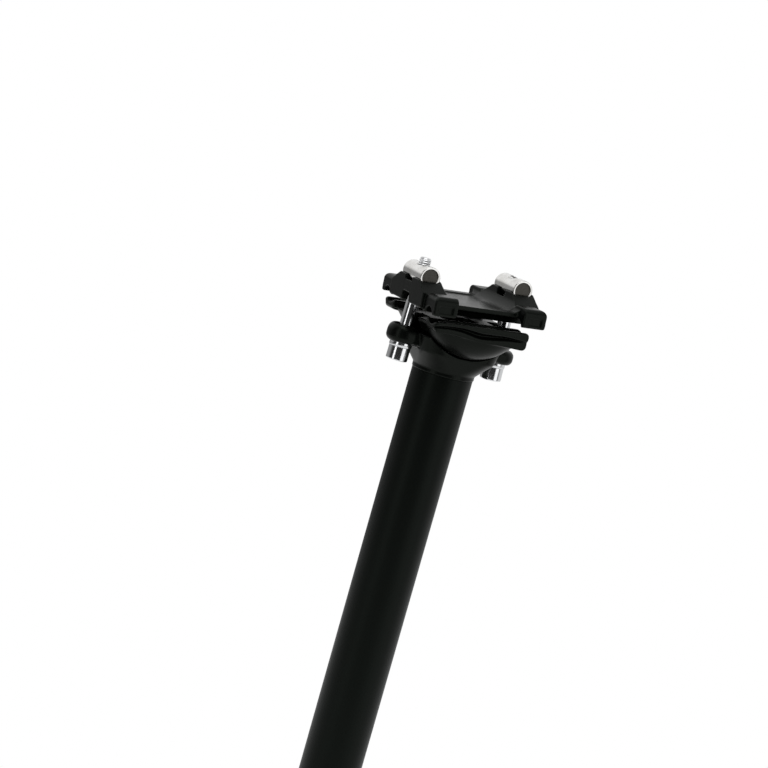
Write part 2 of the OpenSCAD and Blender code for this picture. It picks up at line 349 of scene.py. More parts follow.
def brighter(colour: Colour, gain: float) -> Colour:
    """A colour times a gain."""
    return tuple(gain * part for part in colour)


@dataclass(frozen=True)
class AnodisedTube:
    """Matt black anodised extrusion, with draw lines, and with rub marks on its lower part."""

    name: str = "black_anodised_tube"
    dye: Colour = (0.0016, 0.0020, 0.0017)
    pale_gain: float = 1.35
    pale_from: float = 0.35
    pale_share: float = 0.6
    rubbed: Colour = (0.0085, 0.0088, 0.0084)
    rub_share: float = 0.55
    rub_top: float = 0.150
    rub_fade: float = 0.05
    rub_span: Span = (0.60, 0.72)
    patch_span: Span = (0.46, 0.62)
    rough: float = 0.42
    noise_mid: float = 0.5
    cloud_rough: float = 0.08
    line_rough: float = 0.05
    rub_gloss: float = 0.10
    specular: float = 0.105
    sheen_tint: Colour = (0.84, 1.0, 0.87)
    cloud_scale: float = 38.0
    etch_scale: float = 5200.0
    line_scale: Point = (2600.0, 2600.0, 9.0)
    rub_scale: Point = (900.0, 900.0, 14.0)
    patch_scale: Point = (60.0, 60.0, 12.0)
    etch_harsh: float = 0.6
    etch_height: float = 0.5
    line_height: float = 0.5
    bump_depth: float = 12 * MICRON
    bump_strength: float = 0.55

    def make(self) -> bpy.types.Material:
        """Makes the finish.

        Returns:
            The material.
        """
        material, g = new_material(self.name)
        place = g.place()
        z = g.split(place)[2]
        cloud = g.noise(place, self.cloud_scale, Grain.COARSE)
        etch = g.noise(place, self.etch_scale, Grain.COARSE, self.etch_harsh)
        lines = g.streaks(self.line_scale)
        rubs = g.streaks(self.rub_scale, Grain.MEDIUM).ramp(*self.rub_span)
        patch = g.streaks(self.patch_scale).ramp(*self.patch_span)
        worn = rubs * patch * z.ramp(self.rub_top, self.rub_top - self.rub_fade)
        tint = g.blend(worn * self.rub_share, self.dye, self.rubbed)
        pale = (cloud - self.pale_from) * self.pale_share
        rough = self.rough + (cloud - self.noise_mid) * self.cloud_rough
        rough = rough + (lines - self.noise_mid) * self.line_rough
        relief = lines * self.line_height + etch * self.etch_height
        g.close({
            "Base Color": g.blend(pale, tint, brighter(self.dye, self.pale_gain)),
            "Roughness": rough - worn * self.rub_gloss,
            "Specular IOR Level": self.specular,
            "Specular Tint": (*self.sheen_tint, 1.0),
            "Normal": g.bump(relief, self.bump_depth, self.bump_strength),
        })
        return material


@dataclass(frozen=True)
class SatinForging:
    """Black satin coat on a shot-blasted aluminium forging, lighter on its edges, where the coat
    is worn thin and a painted highlight lies.
    """

    name: str
    # Worn coat and painted highlight: a lighter colour along the rounded edges, broken up by
    # nicks.
    edge: Colour = (0.012, 0.013, 0.0125)
    coat: Colour = (0.0019, 0.0023, 0.0020)
    pale_gain: float = 1.4
    pale_from: float = 0.3
    pale_share: float = 0.5
    edge_span: Span = (0.30, 0.95)
    edge_wear_and_highlight_share: float = 0.8
    nick_span: Span = (0.50, 0.68)
    nick_share: float = 0.55
    pit_span: Span = (0.05, 0.55)
    rough: float = 0.30
    noise_mid: float = 0.5
    cloud_rough: float = 0.10
    pit_rough: float = 0.05
    edge_gloss: float = 0.07
    specular: float = 0.11
    sheen_tint: Colour = (0.88, 1.0, 0.87)
    cloud_scale: float = 90.0
    blast_scale: float = 2400.0
    pit_scale: float = 1500.0
    nick_scale: float = 620.0
    blast_harsh: float = 0.6
    blast_height: float = 0.6
    pit_height: float = 0.4
    bump_depth: float = 36 * MICRON
    bump_strength: float = 0.60

    def make(self) -> bpy.types.Material:
        """Makes the finish.

        Returns:
            The material.
        """
        material, g = new_material(self.name)
        place = g.place()
        cloud = g.noise(place, self.cloud_scale)
        blast = g.noise(place, self.blast_scale, Grain.MEDIUM, self.blast_harsh)
        pits = g.grains(place, self.pit_scale).ramp(*self.pit_span)
        nicks = g.noise(place, self.nick_scale).ramp(*self.nick_span)
        ridge = g.attribute("edge").ramp(*self.edge_span)
        # worn marks both edge wear and a painted highlight along the edges.
        worn = ridge * (1.0 - self.nick_share + nicks * self.nick_share)
        pale = (cloud - self.pale_from) * self.pale_share
        tint = g.blend(pale, self.coat, brighter(self.coat, self.pale_gain))
        rough = self.rough + (cloud - self.noise_mid) * self.cloud_rough
        rough = rough + (1.0 - pits) * self.pit_rough
        relief = blast * self.blast_height + pits * self.pit_height
        g.close({
            "Base Color": g.blend(worn * self.edge_wear_and_highlight_share, tint, self.edge),
            "Roughness": rough - worn * self.edge_gloss,
            "Specular IOR Level": self.specular,
            "Specular Tint": (*self.sheen_tint, 1.0),
            "Normal": g.bump(relief, self.bump_depth, self.bump_strength),
        })
        return material


@dataclass(frozen=True)
class PolishedChrome:
    """Bright chrome plate on a steel fastener, with fine turning lines, small scratches and
    painted shade in its thread roots and socket.
    """

    name: str
    rough: float = 0.13
    plate: Colour = (0.74, 0.75, 0.76)
    # This colour serves both a random duller tone and painted shade in the thread roots and the
    # socket.
    dull_and_shaded: Colour = (0.56, 0.56, 0.57)
    cloud_span: Span = (0.45, 0.8)
    cloud_share: float = 0.35
    recess_shade_span: Span = (0.15, 0.9)
    recess_shade_share: float = 0.65
    scratch_span: Span = (0.62, 0.74)
    noise_mid: float = 0.4
    cloud_rough: float = 0.07
    scratch_rough: float = 0.09
    recess_rough: float = 0.18
    cloud_scale: float = 240.0
    ring_scale: Point = (300.0, 300.0, 9000.0)
    scratch_scale: Point = (1800.0, 1800.0, 260.0)
    bump_depth: float = 4 * MICRON
    bump_strength: float = 0.35

    def make(self) -> bpy.types.Material:
        """Makes the finish.

        Returns:
            The material.
        """
        material, g = new_material(self.name)
        cloud = g.noise(g.place(), self.cloud_scale)
        rings = g.streaks(self.ring_scale)
        scratch = g.streaks(self.scratch_scale, Grain.FINE).ramp(*self.scratch_span)
        # Painted shade: the thread roots and the socket are painted darker and rougher.
        recess_shade = g.attribute("valley").ramp(*self.recess_shade_span)
        dulled_and_shaded = cloud.ramp(*self.cloud_span) * self.cloud_share + recess_shade * self.recess_shade_share
        rough = self.rough + (cloud - self.noise_mid) * self.cloud_rough
        rough = rough + scratch * self.scratch_rough + recess_shade * self.recess_rough
        g.close({
            "Base Color": g.blend(dulled_and_shaded, self.plate, self.dull_and_shaded),
            "Metallic": 1.0,
            "Roughness": rough,
            "Normal": g.bump(rings, self.bump_depth, self.bump_strength),
        })
        return material


@dataclass(frozen=True)
class TurnedSteel:
    """Bar-turned steel, with tool rings and painted shade on its end faces, and lathe lines along
    it.
    """

    name: str
    metal: Colour = (0.74, 0.735, 0.72)
    stain: Colour = (0.48, 0.46, 0.42)
    # Painted shade: this dark brown on the dished end faces stands in for their shade and their
    # dark reflection.
    dish: Colour = (0.020, 0.018, 0.013)
    stain_span: Span = (0.42, 0.78)
    stain_share: float = 0.5
    painted_shade_share: float = 0.92
    ring_share: float = 0.07
    ring_pitch: float = 0.34 * MM
    line_height: float = 0.4
    rough: float = 0.17
    noise_mid: float = 0.4
    cloud_rough: float = 0.10
    dish_rough: float = 0.14
    cloud_scale: float = 260.0
    line_scale: Point = (500.0, 7000.0, 500.0)
    bump_depth: float = 12 * MICRON
    bump_strength: float = 0.45

    def make(self) -> bpy.types.Material:
        """Makes the finish.

        Returns:
            The material.
        """
        material, g = new_material(self.name)
        cloud = g.noise(g.place(), self.cloud_scale)
        lines = g.streaks(self.line_scale)
        face = g.attribute("end_face")
        rings = (g.attribute("turned_radius") * (FULL_TURN / self.ring_pitch)).sine() * 0.5 + 0.5
        clean = g.blend(cloud.ramp(*self.stain_span) * self.stain_share, self.metal, self.stain)
        # Painted shade: the dished end faces are painted dark, with slightly lighter tool rings.
        dished = face * (self.painted_shade_share + rings * self.ring_share)
        rough = self.rough + (cloud - self.noise_mid) * self.cloud_rough + face * self.dish_rough
        relief = rings * face + lines * (1.0 - face) * self.line_height
        g.close({
            "Base Color": g.blend(dished, clean, self.dish),
            "Metallic": 1.0,
            "Roughness": rough,
            "Normal": g.bump(relief, self.bump_depth, self.bump_strength),
        })
        return material


# Mesh tools


def coordinates(mesh: bpy.types.Mesh) -> np.ndarray:
    """Reads a mesh's points.

    Args:
        mesh: the mesh.

    Returns:
        The points' places, one row each.
    """
    flat = np.empty(len(mesh.vertices) * 3, np.float64)
    mesh.vertices.foreach_get("co", flat)
    return flat.reshape(-1, 3)


def put(mesh: bpy.types.Mesh, points: np.ndarray) -> None:
    """Moves a mesh's points to new places, one row each."""
    mesh.vertices.foreach_set("co", points.ravel())
    mesh.update()


def ease(values: np.ndarray) -> np.ndarray:
    """A smooth step of values from 0 to 1."""
    share = np.clip(values, 0.0, 1.0)
    return share * share * (3.0 - 2.0 * share)


def store(mesh: bpy.types.Mesh, name: str, values: np.ndarray) -> None:
    """Stores a number for each point of a mesh.

    Args:
        mesh: the mesh.
        name: the numbers' name.
        values: one number a point.
    """
    attribute = mesh.attributes.new(name, "FLOAT", "POINT")
    attribute.data.foreach_set("value", values.astype(np.float32))


def shade(mesh: bpy.types.Mesh, angle: float) -> None:
    """Shades a mesh smoothly, with hard edges at bends of more than an angle in degrees."""
    mesh.polygons.foreach_set("use_smooth", [True] * len(mesh.polygons))
    mesh.set_sharp_from_angle(angle=math.radians(angle))


def show(name: str, mesh: bpy.types.Mesh) -> bpy.types.Object:
    """Puts a mesh into the scene.

    Args:
        name: the object's name.
        mesh: its mesh.

    Returns:
        The object.
    """
    piece = bpy.data.objects.new(name, mesh)
    bpy.context.scene.collection.objects.link(piece)
    return piece


def mesh_from(
    name: str, points: Sequence[Point], faces: Iterable[Sequence[int]]
) -> bpy.types.Mesh:
    """Makes a mesh with its faces turned outwards.

    Args:
        name: its name.
        points: its points.
        faces: the numbers of each face's points.

    Returns:
        The mesh.
    """
    mesh = bpy.data.meshes.new(name)
    mesh.from_pydata(points, [], faces)
    work = bmesh.new()
    work.from_mesh(mesh)
    bmesh.ops.recalc_face_normals(work, faces=work.faces)
    work.to_mesh(mesh)
    work.free()
    return mesh


def weld(mesh: bpy.types.Mesh, reach: float) -> None:
    """Joins the points of a mesh that lie close together, and drops the faces that this flattens.

    Args:
        mesh: the mesh.
        reach: the largest distance, in metres.
    """
    work = bmesh.new()
    work.from_mesh(mesh)
    bmesh.ops.remove_doubles(work, verts=work.verts, dist=reach)
    bmesh.ops.dissolve_degenerate(work, dist=reach, edges=work.edges)
    bmesh.ops.recalc_face_normals(work, faces=work.faces)
    work.to_mesh(mesh)
    work.free()


def rounded(profile: Profile, radii: Sequence[float], steps: int = 5) -> Profile:
    """Rounds the corners of an open outline.

    Args:
        profile: the outline's corners.
        radii: the rounding at each corner; 0 keeps it sharp.
        steps: how many pieces each rounding has.

    Returns:
        The outline with its roundings.
    """
    most = 0.49
    result: Profile = []
    for index, (corner, radius) in enumerate(zip(profile, radii)):
        if radius <= 0 or index in (0, len(profile) - 1):
            result.append(corner)
            continue
        here = Vector(corner)
        before = Vector(profile[index - 1]) - here
        after = Vector(profile[index + 1]) - here
        half = before.angle(after) / 2.0
        reach = min(radius / math.tan(half), most * before.length, most * after.length)
        start = here + before.normalized() * reach
        end = here + after.normalized() * reach
        for step in range(steps + 1):
            t = step / steps
            point = start * (1 - t) ** 2 + here * (2 * t * (1 - t)) + end * t**2
            result.append((point.x, point.y))
    return result


def ring(radius: float, height: float, segments: int) -> list[Point]:
    """One round row of points.

    Args:
        radius: its radius.
        height: its height.
        segments: how many points it has.

    Returns:
        The points.
    """
    turns = [FULL_TURN * step / segments for step in range(segments)]
    return [(radius * math.cos(turn), radius * math.sin(turn), height) for turn in turns]


def revolve(
    name: str, profile: Profile, segments: int, closed: bool = False
) -> bpy.types.Mesh:
    """Turns an outline of radius and height about the Z axis.

    Args:
        name: the mesh's name.
        profile: pairs of radius and height; a radius of 0 is one point.
        segments: how many steps one turn has.
        closed: whether the outline's end meets its start.

    Returns:
        The mesh.
    """
    points: list[Point] = []
    rows: list[list[int]] = []
    for radius, height in profile:
        if radius == 0.0:
            rows.append([len(points)] * segments)
            points.append((0.0, 0.0, height))
        else:
            rows.append(list(range(len(points), len(points) + segments)))
            points += ring(radius, height, segments)
    faces: list[list[int]] = []
    for low, high in list(zip(rows, rows[1:])) + ([(rows[-1], rows[0])] if closed else []):
        for step in range(segments):
            other = (step + 1) % segments
            face = list(dict.fromkeys([low[step], low[other], high[other], high[step]]))
            if len(face) > 2:
                faces.append(face)
    return mesh_from(name, points, faces)


def loft(name: str, rows: Sequence[Sequence[Point]], closed: bool) -> bpy.types.Mesh:
    """A skin over round rows of points.

    Args:
        name: the mesh's name.
        rows: the rows, each with as many points as the others.
        closed: whether the last row meets the first. If not, both get a flat end.

    Returns:
        The mesh.
    """
    size = len(rows[0])
    points = [point for row in rows for point in row]
    faces: list[list[int]] = []
    for level in range(len(rows) if closed else len(rows) - 1):
        low, high = level * size, (level + 1) % len(rows) * size
        for step in range(size):
            other = (step + 1) % size
            faces.append([low + step, low + other, high + other, high + step])
    if not closed:
        faces.append(list(range(size))[::-1])
        faces.append(list(range(len(points) - size, len(points))))
    return mesh_from(name, points, faces)


def settle(piece: bpy.types.Object) -> None:
    """Applies a piece's modifiers to its mesh.

    Args:
        piece: the piece, whose mesh is replaced.
    """
    bpy.context.view_layer.update()
    graph = bpy.context.evaluated_depsgraph_get()
    done = bpy.data.meshes.new_from_object(piece.evaluated_get(graph))
    old = piece.data
    piece.modifiers.clear()
    piece.data = done
    bpy.data.meshes.remove(old)


def cut(body: bpy.types.Mesh, tool: bpy.types.Mesh) -> bpy.types.Mesh:
    """Takes a tool's volume out of a body.

    Args:
        body: the body, which is used up.
        tool: the volume, in the body's own space.

    Returns:
        What is left of the body.
    """
    blank, cutter = show("blank", body), show("cutter", tool)
    modifier = blank.modifiers.new("cut", "BOOLEAN")
    modifier.operation = "DIFFERENCE"
    modifier.solver = "EXACT"
    modifier.object = cutter
    settle(blank)
    left = blank.data
    bpy.data.objects.remove(blank)
    bpy.data.objects.remove(cutter)
    return left


def axis_frame(origin: Sequence[float], axis: Sequence[float]) -> Matrix:
    """A placement whose Z axis lies along an axis and whose X axis stays in the XZ plane.

    Args:
        origin: its origin.
        axis: the direction of its Z axis.

    Returns:
        The placement.
    """
    up = Vector(axis).normalized()
    across = Vector((0.0, 1.0, 0.0)).cross(up).normalized()
    side = up.cross(across)
    turned = Matrix((across, side, up)).transposed().to_4x4()
    turned.translation = Vector(origin)
    return turned


def bolt_axis(joint: str) -> Matrix:
    """The placement of a packed joint, with its axis as Z."""
    row = next(row for row in frame["joints"] if row["name"] == joint)
    return axis_frame(row["pos_m"], row["axis"])


def fit(
    piece: bpy.types.Object, node: str, material: bpy.types.Material
) -> bpy.types.Object:
    """Puts a piece in a CAD node's stead.

    Args:
        piece: the piece, in place.
        node: the node that it stands for.
        material: its finish.

    Returns:
        The piece.
    """
    piece.data.materials.clear()
    piece.data.materials.append(material)
    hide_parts(node)
    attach(piece, frame["nodes"][node]["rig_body"])
    return piece


# Tube and forgings


class End(Enum):
    """The clamp's two ends."""

    FRONT = "front"
    REAR = "rear"

    @property
    def way(self) -> int:
        """1 for the end that lies ahead along X, and -1 for the other."""
        return 1 if self is End.FRONT else -1


@dataclass
class Tube:
    """The extruded tube, with broken edges at its open foot and at its joint with the head."""

    node: str = "post_tube"
    name: str = "seat_tube"
    outer_d: float = 27.2 * MM
    wall: float = 2.2 * MM
    foot_break: float = 0.7 * MM
    top_break: float = 0.35 * MM
    start_share: float = 0.4
    longest_run: float = 12 * MM
    segments: int = 192
    hard_angle: float = 50.0
    finish: AnodisedTube = field(default_factory=AnodisedTube)

    def build(self) -> bpy.types.Object:
        """Makes the tube between its node's ends, and dresses it.

        Returns:
            The tube.
        """
        low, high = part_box(self.node)
        outer = self.outer_d / 2
        inner = outer - self.wall
        start = (inner, low.z + self.start_share * (high.z - low.z))
        corners: Profile = [
            start, (inner, low.z), (outer, low.z), (outer, high.z), (inner, high.z), start,
        ]
        foot, top = self.foot_break, self.top_break
        outline = rounded(corners, [0.0, foot, foot, top, top, 0.0])[:-1]
        body = revolve(self.name, self._stepped(outline), self.segments, closed=True)
        shade(body, self.hard_angle)
        return fit(show(self.name, body), self.node, self.finish.make())

    def _stepped(self, outline: Profile) -> Profile:
        """Splits an outline's long runs, so that no face is far longer than wide.

        Args:
            outline: the outline.

        Returns:
            The outline with more points on its long runs.
        """
        result: Profile = []
        for (r0, z0), (r1, z1) in zip(outline, outline[1:] + outline[:1]):
            parts = max(1, round(math.hypot(r1 - r0, z1 - z0) / self.longest_run))
            for k in range(parts):
                result.append((r0 + (r1 - r0) * k / parts, z0 + (z1 - z0) * k / parts))
        return result


@dataclass
class Forging:
    """A forged piece: its CAD shape with softened edges, as a die and a blast leave them.

    Edges near the height crisp_z stay sharp. Its default lies below every piece.
    """

    node: str
    name: str
    slot: Slot
    finish: SatinForging
    voxel: float = 0.26 * MM
    passes: int = 24
    last_passes: int = 8
    pull_in: float = 0.52
    push_out: float = 0.53
    round_r: float = 0.9 * MM
    round_reach: float = 0.38 * MM
    round_passes: int = 70
    round_step: float = 0.6
    fresh_every: int = 6
    bend_passes: int = 3
    bend_blur: float = 0.5
    bend_span: float = 1.3
    kept_share: float = 0.28
    crisp_z: float = -1.0
    crisp_reach: float = 0.8 * MM
    hard_angle: float = 180.0

    def build(self) -> bpy.types.Object:
        """Makes the softened shape and dresses it.

        Returns:
            The forging.
        """
        piece = show(self.name, frame["nodes"][self.node].data.copy())
        weld(piece.data, MICRON)
        self._skin(piece)
        self._carve(piece)
        self._soften(piece.data)
        thin = piece.modifiers.new("thin", "DECIMATE")
        thin.ratio = self.kept_share
        settle(piece)
        shade(piece.data, self.hard_angle)
        return fit(piece, self.node, self.finish.make())

    def _skin(self, piece: bpy.types.Object) -> None:
        """Gives a piece one even skin of small faces.

        Args:
            piece: the piece, whose mesh is replaced.
        """
        remesh = piece.modifiers.new("skin", "REMESH")
        remesh.mode = "VOXEL"
        remesh.voxel_size = self.voxel
        settle(piece)

    def _carve(self, piece: bpy.types.Object) -> None:
        """Adds a piece's own detail to its shape. A plain forging has none."""

    def _soften(self, mesh: bpy.types.Mesh) -> None:
        """Rounds a mesh's outer edges to one radius, and stores how sharp each place is.

        Args:
            mesh: the mesh, with an even skin.
        """
        points = coordinates(mesh)
        ends = np.empty(len(mesh.edges) * 2, np.int64)
        mesh.edges.foreach_get("vertices", ends)
        first, second = ends.reshape(-1, 2).T
        number = np.maximum(np.bincount(ends, minlength=len(points)), 1).astype(float)

        def pull(values: np.ndarray) -> np.ndarray:
            """Compares each point's values with its neighbours'.

            Args:
                values: one row a point.

            Returns:
                How far the mean of its neighbours lies from each row.
            """
            columns = []
            for column in values.T:
                total = np.bincount(first, column[second], len(column))
                total = total + np.bincount(second, column[first], len(column))
                columns.append(total / number - column)
            return np.array(columns).T

        def smoothed(passes: int) -> np.ndarray:
            """Takes the skin's small steps off the points.

            Args:
                passes: how often each point is pulled in and pushed out again.

            Returns:
                The points' new places.
            """
            result = points
            for _ in range(passes):
                result = result + self.pull_in * pull(result)
                result = result - self.push_out * pull(result)
            return result

        def outward() -> np.ndarray:
            """Moves the mesh to where the points are now.

            Returns:
                Its normals there, one row a point.
            """
            put(mesh, points)
            flat = np.empty(len(points) * 3)
            mesh.vertices.foreach_get("normal", flat)
            return flat.reshape(-1, 3)

        points = smoothed(self.passes)
        start, normals = points, outward()
        # A rounding of radius r bends by about voxel**2 / (4 * r) from one point to the next.
        limit = self.voxel**2 / (4.0 * self.round_r)
        soft = np.abs(points[:, 2] - self.crisp_z) > self.crisp_reach
        for step in range(self.round_passes):
            if step % self.fresh_every == 0:
                normals = outward()
            bend = -np.einsum("ij,ij->i", pull(points), normals)
            excess = np.maximum(0.0, bend - limit) * soft
            moved = points - normals * (self.round_step * excess)[:, None] - start
            far = np.maximum(1.0, np.linalg.norm(moved, axis=1) / self.round_reach)
            points = start + moved / far[:, None]
        points = smoothed(self.last_passes)
        normals = outward()
        ridge = -np.einsum("ij,ij->i", pull(points), normals)[:, None]
        for _ in range(self.bend_passes):
            ridge = ridge + self.bend_blur * pull(ridge)
        store(mesh, "edge", np.clip(ridge[:, 0] / (self.bend_span * limit), 0.0, 1.0))


@dataclass
class PostHead(Forging):
    """The head, with a crowned top on its front ear and a crisp foot at its joint."""

    ear_from: float = 19.0 * MM
    ear_full: float = 22.5 * MM
    ear_mid: float = 334.0 * MM
    ear_top: float = 337.7 * MM
    crown: float = 1.4 * MM

    def __post_init__(self) -> None:
        """Finds the joint with the tube."""
        self.crisp_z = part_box("post_tube")[1].z

    def _carve(self, piece: bpy.types.Object) -> None:
        """Raises the front ear's upper half and skins the piece again.

        Args:
            piece: the head.
        """
        points = coordinates(piece.data)
        ahead = ease((points[:, 0] - self.ear_from) / (self.ear_full - self.ear_from))
        high = ease((points[:, 2] - self.ear_mid) / (self.ear_top - self.ear_mid))
        points[:, 2] += self.crown * ahead * high
        put(piece.data, points)
        self._skin(piece)


@dataclass
class RailCradle(Forging):
    """The rail cradle, whose bars end below in a swept crease along each side.

    The crease is given by its place along the post's X axis, its height and half its width, in
    millimetres. The bar's top is a height at X = 0 and a slope.
    """

    round_r: float = 1.5 * MM
    round_reach: float = 0.55 * MM
    round_passes: int = 100
    crease: tuple[Point, ...] = (
        (-21.5, 345.90, 0.25), (-18.4, 345.75, 0.48), (-15.0, 345.65, 0.72),
        (-12.0, 345.55, 0.95), (-8.5, 345.20, 1.18), (-5.0, 344.75, 1.32),
        (-1.6, 344.40, 1.38), (1.0, 344.25, 1.38), (3.5, 344.45, 1.32),
        (6.5, 344.80, 1.20), (9.5, 345.05, 1.02), (13.0, 345.10, 0.84),
        (16.5, 344.90, 0.72), (20.7, 344.40, 0.65), (25.5, 343.60, 0.62),
    )
    bar_y: float = 27.2 * MM
    bar_top: Span = (348.0 * MM, -0.08)
    top_margin: float = 0.35 * MM
    step: float = 0.9 * MM
    step_margin: float = 0.15 * MM
    groove: float = 2.6 * MM
    full_half: float = 1.0 * MM
    hollow_power: float = 1.3
    lowest: float = 6.0 * MM

    def _carve(self, piece: bpy.types.Object) -> None:
        """Moves each side's points to the bar, the crease or the flank, and skins the piece again.

        Args:
            piece: the cradle.
        """
        points = coordinates(piece.data)
        x, y, z = points.T
        along, rise, width = np.array(self.crease).T * MM
        below = np.interp(x, along, rise) - z
        half = np.interp(x, along, width)
        inset = self.bar_y - np.abs(y)
        depth = self.groove * np.minimum(1.0, half / self.full_half)
        hollow = depth * np.maximum(0.0, 1.0 - np.abs(below / half) ** self.hollow_power)
        creased = self.step * ease((below + half) / (2.0 * half)) + hollow
        target = np.where(below < half, creased, np.maximum(inset, self.step))
        top = self.bar_top[0] + self.bar_top[1] * x
        side = (inset < self.step + self.step_margin) & (below < self.lowest)
        side &= z < top - self.top_margin
        points[:, 1] = np.where(side, np.sign(y) * (self.bar_y - target), y)
        put(piece.data, points)
        self._skin(piece)


@dataclass
class UpperClamp(Forging):
    """The upper clamp, with a web that closes the outer end of each bolt's slot."""

    lean: float = 4.5
    web_out: float = 5.5 * MM
    web_t: float = 1.0 * MM
    web_w: float = 8.4 * MM
    web_low: float = 8.3 * MM
    web_high: float = 3.2 * MM

    def _carve(self, piece: bpy.types.Object) -> None:
        """Sets a web outside each bolt, below its nut, and skins the piece again.

        Args:
            piece: the clamp.
        """
        work = bmesh.new()
        work.from_mesh(piece.data)
        tilt = Matrix.Rotation(math.radians(self.lean), 4, "Y")
        size = Matrix.Diagonal((self.web_t, self.web_w, self.web_low - self.web_high, 1.0))
        drop = -(self.web_low + self.web_high) / 2
        for end in End:
            low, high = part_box(f"{end.value}_barrel_nut")
            ahead = end.way * (self.web_out - self.web_t / 2)
            middle = Matrix.Translation((ahead, 0.0, drop))
            place = Matrix.Translation((low + high) / 2) @ tilt @ middle
            bmesh.ops.create_cube(work, size=1.0, matrix=place @ size)
        work.to_mesh(piece.data)
        work.free()
        self._skin(piece)


# Fasteners


@dataclass
class Fastener:
    """A piece that sits on the turning axis of one of the bolts."""

    slot: ClassVar[Slot] = Slot.FASTENER
    node: str
    turn: str
    name: str
    finish: Union[PolishedChrome, TurnedSteel]

    def build(self) -> bpy.types.Object:
        """Makes the fastener in its place and dresses it.

        Returns:
            The fastener.
        """
        piece = show(self.name, self._body())
        piece.matrix_world = self._place()
        return fit(piece, self.node, self.finish.make())

    def _place(self) -> Matrix:
        """The fastener's placement, with the bolt's axis as Z."""
        return bolt_axis(self.turn)

    def _body(self) -> bpy.types.Mesh:
        """The fastener's mesh, which each kind makes in its own way."""
        raise NotImplementedError


